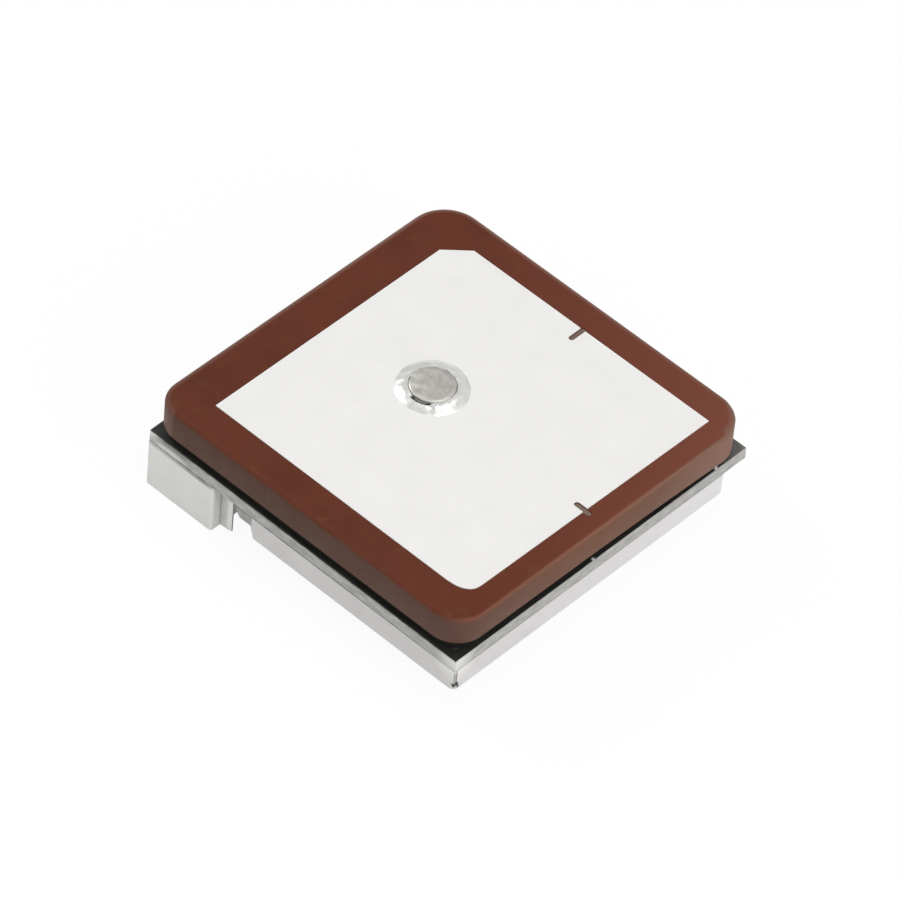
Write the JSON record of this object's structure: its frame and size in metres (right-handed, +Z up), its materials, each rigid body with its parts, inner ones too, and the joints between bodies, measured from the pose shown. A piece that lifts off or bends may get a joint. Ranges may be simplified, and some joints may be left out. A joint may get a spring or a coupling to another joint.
{
  "type": "gps receiver module",
  "caption": "Square satellite receiver module: brown ceramic antenna with a silver patch and soldered feed pin on a dark board, with a folded shield can and side-entry connector beneath.",
  "frame": {"origin": "under the middle of the board, at the level of the connector's foot, which is the lowest face", "axes": "+X and +Y along the sides of the board, +Z up through the antenna; the connector is at the -X -Y corner and its mouth faces -X"},
  "size_m": [0.025, 0.025, 0.0078],
  "materials": {
    "brown_ceramic": "satin, unglazed",
    "silver_film": "matt, printed and fired",
    "solder": "bright, reflowed",
    "tinned_pin": "tinned, dull",
    "black_foam": "matt foam tape",
    "dark_resist": "satin solder resist",
    "tinned_edge": "tinned, uneven",
    "tinplate": "satin tinplate",
    "pale_nylon": "satin moulded",
    "tinned_brass": "tinned, bright",
    "black_epoxy": "matt moulded",
    "package_metal": "satin lid",
    "chip_ceramic": "matt fired",
    "resistor_glaze": "glazed top"
  },
  "bodies": {
    "root": {"antenna_ceramic": "brown_ceramic", "antenna_patch": "silver_film", "antenna_ground_plane": "silver_film", "feed_pin": "tinned_pin", "feed_solder": "solder", "pin_solder_joint": "solder", "adhesive_pad": "black_foam", "circuit_board": "dark_resist", "edge_plating": "tinned_edge", "shield_can": "tinplate", "connector_housing": "pale_nylon", "connector_contacts": "tinned_brass", "connector_tabs": "tinned_brass", "receiver_chip": "black_epoxy", "flash_memory": "black_epoxy", "saw_filter": "package_metal", "low_noise_amplifier": "black_epoxy", "crystal_oscillator": "package_metal", "clock_crystal": "package_metal", "voltage_regulator": "black_epoxy", "decoupling_capacitors": "chip_ceramic", "chip_resistors": "resistor_glaze", "rf_inductors": "chip_ceramic", "backup_cell": "package_metal"}
  },
  "joints": []
}
